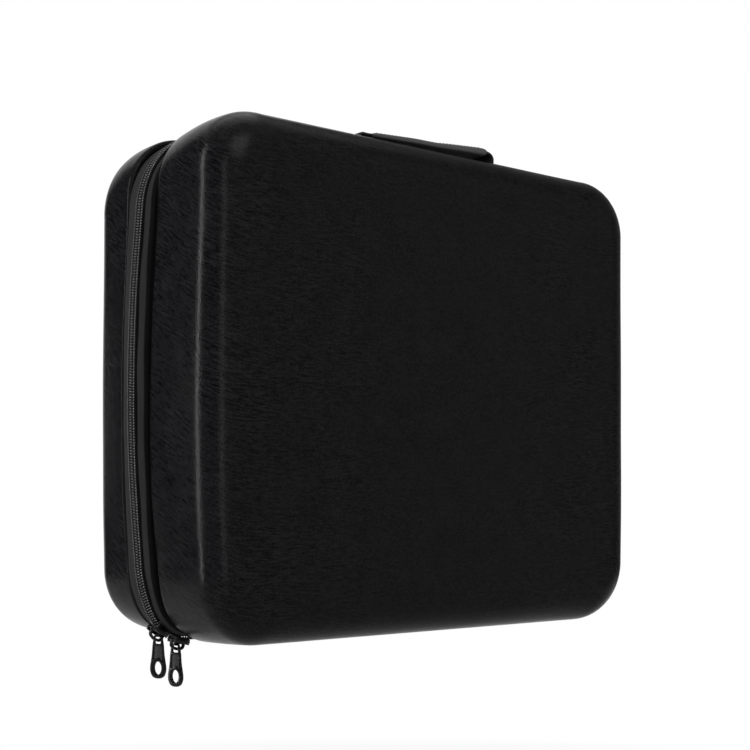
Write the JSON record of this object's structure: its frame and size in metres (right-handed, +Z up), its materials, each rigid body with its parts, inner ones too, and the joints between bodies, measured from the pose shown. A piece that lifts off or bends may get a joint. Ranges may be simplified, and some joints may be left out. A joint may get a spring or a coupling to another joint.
{
  "type": "console carrying bag",
  "caption": "Black hard-shell carrying bag for a home console: two moulded halves joined by a zip, with a hinge along the bottom and a padded top handle.",
  "frame": {"origin": "on the surface that the bag stands on, at the middle of its width, under the plane where the two zip rows meet", "axes": "+X to the right seen from the front, +Y from the front face to the rear face, +Z up"},
  "size_m": [0.3928, 0.158, 0.3721],
  "materials": {
    "shell": "fine grained synthetic leather over moulded foam, satin",
    "grip": "smooth synthetic leather, glossy",
    "tape": "woven polyester tape, matte",
    "coil": "nylon coil, satin",
    "binding": "ribbed polyester binding",
    "black_metal": "cast zinc, glossy black plating",
    "webbing": "woven webbing",
    "stiffener": "flat sheet",
    "net": "open knitted net"
  },
  "bodies": {
    "rear_half": {"rear_shell": "shell", "rear_zip_tape": "tape", "rear_zip_coil": "coil", "hinge_strip": "tape", "zip_end_tab_left": "tape", "zip_end_tab_right": "tape", "rear_binding": "binding", "console_strap_left": "webbing", "console_strap_right": "webbing"},
    "front_half": {"front_shell": "shell", "front_zip_tape": "tape", "front_zip_coil": "coil", "front_binding": "binding", "handle_webbing": "webbing", "handle_grip": "grip", "handle_backing_plate": "stiffener", "pocket_net": "net", "pocket_band": "binding"},
    "upper_slider_body": {"upper_slider": "black_metal"},
    "lower_slider_body": {"lower_slider": "black_metal"},
    "upper_pull_body": {"upper_pull": "black_metal"},
    "lower_pull_body": {"lower_pull": "black_metal"}
  },
  "joints": [
    {"name": "lid_hinge", "type": "hinge", "parent": "rear_half", "child": "front_half", "pos_m": [0, -0.0165, 0.0006], "axis": [1, 0, 0], "range_deg": [0, 100], "deforming": ["front_zip_tape", "front_zip_coil"]},
    {"name": "upper_slider_travel", "type": "hinge", "parent": "rear_half", "child": "upper_slider_body", "pos_m": [-0.15, 0, 0.046], "axis": [0, 1, 0], "range_deg": [0, 45]},
    {"name": "lower_slider_travel", "type": "hinge", "parent": "rear_half", "child": "lower_slider_body", "pos_m": [-0.15, 0, 0.046], "axis": [0, 1, 0], "range_deg": [-6, 0]},
    {"name": "upper_pull_swing", "type": "hinge", "parent": "upper_slider_body", "child": "upper_pull_body", "pos_m": [-0.1788, 0, 0.0033], "axis": [0, 1, 0], "range_deg": [-8, 110]},
    {"name": "lower_pull_swing", "type": "hinge", "parent": "lower_slider_body", "child": "lower_pull_body", "pos_m": [-0.16333, 0, -0.00375], "axis": [0, 1, 0], "range_deg": [-70, 8]}
  ]
}
